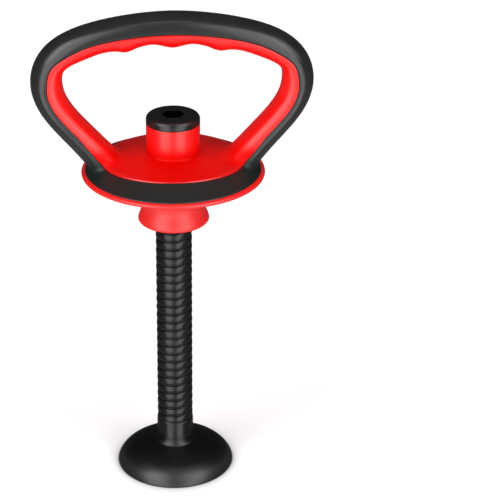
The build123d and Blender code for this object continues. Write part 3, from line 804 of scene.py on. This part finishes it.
# its specular is low too, apart from its rolled edge
edge = nt.nodes.new("ShaderNodeMath")
edge.operation = "MAXIMUM"
nt.links.new(maprange(nt, rs.outputs["Z"], 0.2660, 0.2730, 0.08, 0.58).outputs["Result"], edge.inputs[0])
nt.links.new(maprange(nt, rs.outputs["Z"], 0.2572, 0.2584, 1.0, 0.08).outputs["Result"], edge.inputs[1])
nt.links.new(edge.outputs["Value"], bsdf.inputs["Specular IOR Level"])
m_acetal = moulded("nut_plastic", (0.62, 0.60, 0.55), (0.68, 0.66, 0.61), 0.38, 0.46, 1500.0, 0.00002)
m_rubber = moulded("pad_rubber", (0.012, 0.012, 0.012), (0.018, 0.018, 0.018), 0.65, 0.80, 900.0, 0.00010)


def steel_material():
    m, nt, bsdf, tc = new_material("steel")
    bsdf.inputs["Metallic"].default_value = 1.0
    n = noise(nt, tc, 180.0, 6.0, 0.6)
    nt.links.new(ramp(nt, n.outputs["Fac"], (0.46, 0.47, 0.48), (0.62, 0.62, 0.61)).outputs["Color"], bsdf.inputs["Base Color"])
    nt.links.new(maprange(nt, n.outputs["Fac"], 0.3, 0.7, 0.28, 0.42).outputs["Result"], bsdf.inputs["Roughness"])
    g = noise(nt, tc, 900.0, 2.0)
    bump(nt, bsdf, g.outputs["Fac"], 1.0, 0.00002)
    return m


m_steel = steel_material()


def paint(ob, mat):
    if len(ob.material_slots) == 0:
        ob.data.materials.append(mat)
    for s in ob.material_slots:
        s.link = "OBJECT"
        s.material = mat


for ob, mat in ((red, m_red), (black, m_grip), (flange, m_flange), (cap, m_cap), (foot, m_foot), (neck, m_black), (thread, m_black)):
    ob.data.materials.clear()
    ob.data.materials.append(mat)
# the key socket's walls get a near-black material: painted shade in the recess
cap.data.materials.append(m_socket_painted_shade)
for p in cap.data.polygons:
    c = p.center
    if c.z < 291.3 * MM and max(abs(c.y), abs(c.x) * 0.8660254 + abs(c.y) * 0.5) < 7.40 * MM:
        p.material_index = 1
slot_mats = {"red_plastic": m_red, "black_grip": m_grip, "black_plastic": m_black, "steel": m_steel,
             "nut_plastic": m_acetal, "pad_rubber": m_rubber}
for sp in frame["record"]["subparts"]:
    ob = nodes.get(sp["node"])
    if ob is not None:
        paint(ob, slot_mats[sp["material_slot"]])

# ---------------------------------------------------------------------------
# Floor, light
# ---------------------------------------------------------------------------
me = bpy.data.meshes.new("floor")
me.from_pydata([(-40, -40, 0), (40, -40, 0), (40, 40, 0), (-40, 40, 0)], [], [(0, 1, 2, 3)])
floor = bpy.data.objects.new("floor", me)
scene.collection.objects.link(floor)
fm, nt, bsdf, tc = new_material("floor_paper")
n = noise(nt, tc, 3.0, 2.0)
nt.links.new(ramp(nt, n.outputs["Fac"], (0.89, 0.89, 0.89), (0.91, 0.91, 0.91)).outputs["Color"], bsdf.inputs["Base Color"])
bsdf.inputs["Roughness"].default_value = 0.9
bsdf.inputs["Specular IOR Level"].default_value = 0.0
bsdf.inputs["Emission Color"].default_value = (1, 1, 1, 1)
fsep = nt.nodes.new("ShaderNodeSeparateXYZ")
nt.links.new(tc.outputs["Object"], fsep.inputs["Vector"])
flat = nt.nodes.new("ShaderNodeCombineXYZ")
nt.links.new(fsep.outputs["X"], flat.inputs["X"])
nt.links.new(fsep.outputs["Y"], flat.inputs["Y"])
away = nt.nodes.new("ShaderNodeVectorMath")
away.operation = "LENGTH"
nt.links.new(flat.outputs["Vector"], away.inputs[0])
g0 = maprange(nt, away.outputs["Value"], 0.08, 1.1, FLOOR_GLOW[0], FLOOR_GLOW[1])
g1 = maprange(nt, away.outputs["Value"], 1.2, 3.0, 0.0, FLOOR_GLOW[2] - FLOOR_GLOW[1])
gsum = nt.nodes.new("ShaderNodeMath")
gsum.operation = "ADD"
nt.links.new(g0.outputs["Result"], gsum.inputs[0])
nt.links.new(g1.outputs["Result"], gsum.inputs[1])
nt.links.new(gsum.outputs["Value"], bsdf.inputs["Emission Strength"])
# painted contact shadow: ambient occlusion darkens the floor's colour and its glow next to the object
ao = nt.nodes.new("ShaderNodeAmbientOcclusion")
ao.inputs["Distance"].default_value = 0.025
ao.samples = 16
contact_shadow_paint = maprange(nt, ao.outputs["AO"], 0.35, 0.97, 0.0, 1.0)
for sock in ("Base Color", "Emission Color"):
    mixer = nt.nodes.new("ShaderNodeMixRGB")
    mixer.blend_type = "MULTIPLY"
    mixer.inputs["Fac"].default_value = 1.0
    old = bsdf.inputs[sock].links[0].from_socket if bsdf.inputs[sock].links else None
    if old is not None:
        nt.links.new(old, mixer.inputs["Color1"])
    else:
        mixer.inputs["Color1"].default_value = (1, 1, 1, 1)
    nt.links.new(contact_shadow_paint.outputs["Result"], mixer.inputs["Color2"])
    nt.links.new(mixer.outputs["Color"], bsdf.inputs[sock])
floor.data.materials.append(fm)
floor.visible_glossy = False
floor.visible_shadow = False
flange.visible_glossy = False

# the room: dark above and behind, a little light from low in front
world = bpy.data.worlds.new("world")
scene.world = world
world.use_nodes = True
wt = world.node_tree
bg = wt.nodes["Background"]
wtc = wt.nodes.new("ShaderNodeTexCoord")
sep = wt.nodes.new("ShaderNodeSeparateXYZ")
wt.links.new(wtc.outputs["Generated"], sep.inputs["Vector"])
wm = wt.nodes.new("ShaderNodeMapRange")
wm.inputs["From Min"].default_value = -1.0
wm.inputs["From Max"].default_value = 1.0
wt.links.new(sep.outputs["Z"], wm.inputs["Value"])
wr = wt.nodes.new("ShaderNodeValToRGB")
els = wr.color_ramp.elements
for p, v in ROOM:
    if p <= -1:
        e = els[0]
        e.position = 0.0
    elif p >= 1:
        e = els[-1]
        e.position = 1.0
    else:
        e = els.new((p + 1) / 2)
    e.color = (v, v, v, 1)
wt.links.new(wm.outputs["Result"], wr.inputs["Fac"])
wt.links.new(wr.outputs["Color"], bg.inputs["Color"])
bg.inputs["Strength"].default_value = 1.0


def panel(name, low, high, width, radiance, glossy, target=(0, 0, 0.18)):
    """Tall soft box from a low point to a high one, facing the object."""
    low, high = Vector(low), Vector(high)
    mid = (low + high) / 2
    y = (high - low).normalized()
    z = mid - Vector(target)
    z = (z - y * z.dot(y)).normalized()
    x = y.cross(z)
    ld = bpy.data.lights.new(name, "AREA")
    ld.shape = "RECTANGLE"
    ld.size = width
    ld.size_y = (high - low).length
    ld.energy = radiance * pi * ld.size * ld.size_y
    ob = bpy.data.objects.new(name, ld)
    scene.collection.objects.link(ob)
    ob.matrix_world = Matrix(((x.x, y.x, z.x, mid.x), (x.y, y.y, z.y, mid.y), (x.z, y.z, z.z, mid.z), (0, 0, 0, 1)))
    ob.visible_camera = False
    ob.visible_glossy = glossy
    return ob


for args in PANELS:
    panel(*args)

scene.view_settings.view_transform = "Standard"
scene.view_settings.look = "None"
scene.view_settings.exposure = 0.0
scene.view_settings.gamma = 1.0
